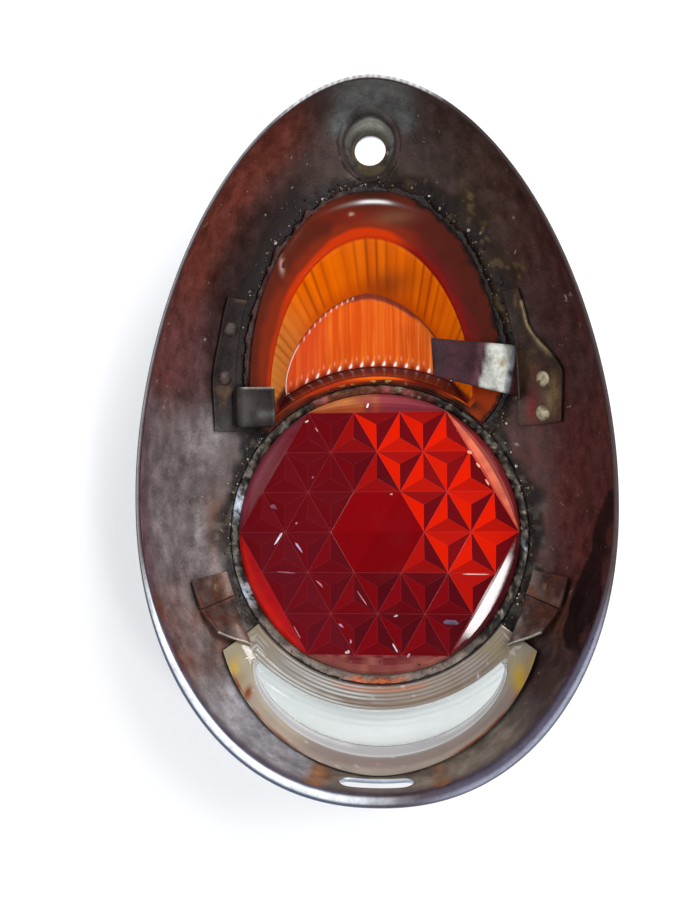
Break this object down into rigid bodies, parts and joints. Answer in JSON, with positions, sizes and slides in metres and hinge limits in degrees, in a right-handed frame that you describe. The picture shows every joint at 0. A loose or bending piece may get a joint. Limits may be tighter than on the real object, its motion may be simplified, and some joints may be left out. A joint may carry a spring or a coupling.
{
  "type": "motorcycle tail light cover",
  "caption": "Egg-shaped pressed-steel tail lamp cover, seen from its open back, with a red lens, an amber arch lens and a clear crescent lens held by bendable clips.",
  "frame": {"origin": "middle of the cover in plan, at the level of the red lens front on which it lies", "axes": "+X across the cover to the pictured right, +Y towards the narrow crown, +Z out of the open back"},
  "size_m": [0.098, 0.1512, 0.0345],
  "materials": {
    "cover_steel": "tarnished inside, bright at the rim",
    "amber_plastic": "glossy, moulded flutes",
    "red_plastic": "glossy, moulded pyramids",
    "clear_plastic": "clear, yellowed at its tips",
    "seal_rubber": "perished, crumbly",
    "clip_steel": "tarnished, rusty",
    "weld_metal": "dull"
  },
  "bodies": {
    "cover": {"bezel_shell": "cover_steel", "amber_lens": "amber_plastic", "red_lens": "red_plastic", "clear_lens": "clear_plastic", "amber_seal": "seal_rubber", "red_seal": "seal_rubber", "clear_seal": "seal_rubber", "upper_left_strap": "clip_steel", "upper_left_welds": "weld_metal", "upper_right_strap": "clip_steel", "upper_right_welds": "weld_metal", "lower_left_strap": "clip_steel", "lower_left_weld": "weld_metal", "lower_right_strap": "clip_steel", "lower_right_weld": "weld_metal"},
    "upper_left_tongue": {"upper_left_tongue": "clip_steel"},
    "upper_right_tongue": {"upper_right_tongue": "clip_steel"},
    "lower_left_tongue": {"lower_left_tongue": "clip_steel"},
    "lower_right_tongue": {"lower_right_tongue": "clip_steel"}
  },
  "joints": [
    {"name": "upper_left_bend", "type": "hinge", "parent": "cover", "child": "upper_left_tongue", "pos_m": [-0.03245, 0.00783, 0.01246], "axis": [-0.0006, -0.9847, -0.1741], "range_deg": [0, 75]},
    {"name": "upper_right_bend", "type": "hinge", "parent": "cover", "child": "upper_right_tongue", "pos_m": [0.03223, 0.01392, 0.01355], "axis": [-0.04, 0.9824, 0.1826], "range_deg": [-20, 60]},
    {"name": "lower_left_bend", "type": "hinge", "parent": "cover", "child": "lower_left_tongue", "pos_m": [-0.03672, -0.03711, 0.01258], "axis": [-0.5967, -0.2563, 0.7605], "range_deg": [0, 65]},
    {"name": "lower_right_bend", "type": "hinge", "parent": "cover", "child": "lower_right_tongue", "pos_m": [0.03672, -0.03711, 0.01258], "axis": [-0.5967, 0.2563, -0.7605], "range_deg": [0, 65]}
  ]
}
